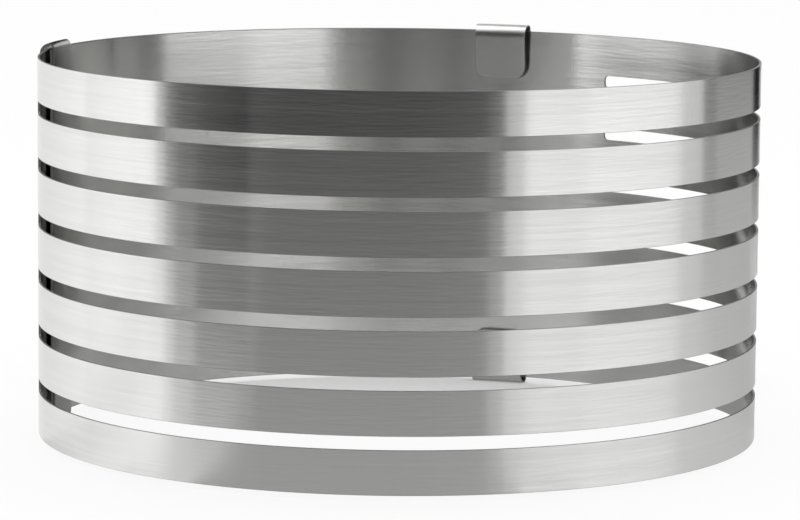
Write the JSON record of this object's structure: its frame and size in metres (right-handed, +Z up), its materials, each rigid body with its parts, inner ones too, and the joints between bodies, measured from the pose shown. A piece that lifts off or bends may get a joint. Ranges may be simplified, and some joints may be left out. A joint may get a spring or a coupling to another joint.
{
  "type": "adjustable cake leveler ring",
  "caption": "Adjustable stainless steel ring with rows of level slots that guide a knife through a cake; its overlapping ends slide in clips to set the diameter.",
  "frame": {"origin": "on the surface the ring stands on, under the centre of its outline seen from above", "axes": "+Z up along the ring's axis; -Y towards the viewer, who faces the slots; the overlapping ends are at the back, on the +Y side, and the strip's inner end is at the left, -X"},
  "size_m": [0.164, 0.1634, 0.0879],
  "materials": {
    "strip_steel": "fine level brushing along the strip",
    "clip_steel": "satin, bent from thin sheet"
  },
  "bodies": {
    "inner_end_plate_1": {"inner_end_bottom_clip": "clip_steel", "inner_end_plate_1": "strip_steel", "inner_end_top_clip": "clip_steel"},
    "inner_end_plate_2": {"inner_end_plate_2": "strip_steel"},
    "inner_end_plate_3": {"inner_end_plate_3": "strip_steel"},
    "inner_end_comb": {"inner_end_comb": "strip_steel"},
    "section_a": {"band_1_section_a": "strip_steel", "band_2_section_a": "strip_steel", "band_3_section_a": "strip_steel", "band_4_section_a": "strip_steel", "band_5_section_a": "strip_steel", "band_6_section_a": "strip_steel", "band_7_section_a": "strip_steel"},
    "section_b": {"band_1_section_b": "strip_steel", "band_2_section_b": "strip_steel", "band_3_section_b": "strip_steel", "band_4_section_b": "strip_steel", "band_5_section_b": "strip_steel", "band_6_section_b": "strip_steel", "band_7_section_b": "strip_steel"},
    "section_c": {"band_1_section_c": "strip_steel", "band_2_section_c": "strip_steel", "band_3_section_c": "strip_steel", "band_4_section_c": "strip_steel", "band_5_section_c": "strip_steel", "band_6_section_c": "strip_steel", "band_7_section_c": "strip_steel"},
    "section_d": {"band_1_section_d": "strip_steel", "band_2_section_d": "strip_steel", "band_3_section_d": "strip_steel", "band_4_section_d": "strip_steel", "band_5_section_d": "strip_steel", "band_6_section_d": "strip_steel", "band_7_section_d": "strip_steel"},
    "section_e": {"band_1_section_e": "strip_steel", "band_2_section_e": "strip_steel", "band_3_section_e": "strip_steel", "band_4_section_e": "strip_steel", "band_5_section_e": "strip_steel", "band_6_section_e": "strip_steel", "band_7_section_e": "strip_steel"},
    "outer_end_comb": {"outer_end_comb": "strip_steel"},
    "outer_end_plate_3": {"outer_end_plate_3": "strip_steel"},
    "outer_end_plate_2": {"outer_end_plate_2": "strip_steel"},
    "outer_end_plate_1": {"outer_end_bottom_clip": "clip_steel", "outer_end_plate_1": "strip_steel", "outer_end_top_clip": "clip_steel"}
  },
  "joints": [
    {"name": "ring_opening", "type": "hinge", "parent": "section_c", "child": "section_d", "pos_m": [0.01378, -0.08041, 0.04395], "axis": [0, 0, 1], "range_deg": [0, 7.9]},
    {"name": "bend_section_e", "type": "hinge", "parent": "section_d", "child": "section_e", "pos_m": [-0.04293, -0.06873, 0.04395], "axis": [0, 0, 1], "range_deg": [0, 7.9]},
    {"name": "bend_outer_end_comb", "type": "hinge", "parent": "section_e", "child": "outer_end_comb", "pos_m": [-0.07749, -0.02214, 0.04395], "axis": [0, 0, 1], "range_deg": [0, 6.99]},
    {"name": "bend_outer_end_plate_3", "type": "hinge", "parent": "outer_end_comb", "child": "outer_end_plate_3", "pos_m": [-0.07721, 0.02286, 0.04395], "axis": [0, 0, 1], "range_deg": [0, 6.07]},
    {"name": "bend_outer_end_plate_2", "type": "hinge", "parent": "outer_end_plate_3", "child": "outer_end_plate_2", "pos_m": [-0.05305, 0.0609, 0.04395], "axis": [0, 0, 1], "range_deg": [0, 6.07]},
    {"name": "bend_outer_end_plate_1", "type": "hinge", "parent": "outer_end_plate_2", "child": "outer_end_plate_1", "pos_m": [-0.01233, 0.08035, 0.04395], "axis": [0, 0, 1], "range_deg": [0, 6.07]},
    {"name": "bend_section_b", "type": "hinge", "parent": "section_c", "child": "section_b", "pos_m": [0.06374, -0.05139, 0.04395], "axis": [0, 0, -1], "range_deg": [0, 7.98]},
    {"name": "bend_section_a", "type": "hinge", "parent": "section_b", "child": "section_a", "pos_m": [0.08161, 0.00344, 0.04395], "axis": [0, 0, -1], "range_deg": [0, 7.98]},
    {"name": "bend_inner_end_comb", "type": "hinge", "parent": "section_a", "child": "inner_end_comb", "pos_m": [0.05845, 0.05612, 0.04395], "axis": [0, 0, -1], "range_deg": [0, 7.06]},
    {"name": "bend_inner_end_plate_3", "type": "hinge", "parent": "inner_end_comb", "child": "inner_end_plate_3", "pos_m": [0.01968, 0.07791, 0.04395], "axis": [0, 0, -1], "range_deg": [0, 6.13]},
    {"name": "bend_inner_end_plate_2", "type": "hinge", "parent": "inner_end_plate_3", "child": "inner_end_plate_2", "pos_m": [-0.02468, 0.0758, 0.04395], "axis": [0, 0, -1], "range_deg": [0, 6.13]},
    {"name": "bend_inner_end_plate_1", "type": "hinge", "parent": "inner_end_plate_2", "child": "inner_end_plate_1", "pos_m": [-0.06109, 0.0505, 0.04395], "axis": [0, 0, -1], "range_deg": [0, 6.13]}
  ],
  "couplings": [
    {"joint": "bend_section_e", "follows": "ring_opening", "ratio": 1},
    {"joint": "bend_outer_end_comb", "follows": "ring_opening", "ratio": 0.88359},
    {"joint": "bend_outer_end_plate_3", "follows": "ring_opening", "ratio": 0.76718},
    {"joint": "bend_outer_end_plate_2", "follows": "ring_opening", "ratio": 0.76718},
    {"joint": "bend_outer_end_plate_1", "follows": "ring_opening", "ratio": 0.76718},
    {"joint": "bend_section_b", "follows": "ring_opening", "ratio": 1.01},
    {"joint": "bend_section_a", "follows": "ring_opening", "ratio": 1.01},
    {"joint": "bend_inner_end_comb", "follows": "ring_opening", "ratio": 0.89243},
    {"joint": "bend_inner_end_plate_3", "follows": "ring_opening", "ratio": 0.77485},
    {"joint": "bend_inner_end_plate_2", "follows": "ring_opening", "ratio": 0.77485},
    {"joint": "bend_inner_end_plate_1", "follows": "ring_opening", "ratio": 0.77485}
  ]
}
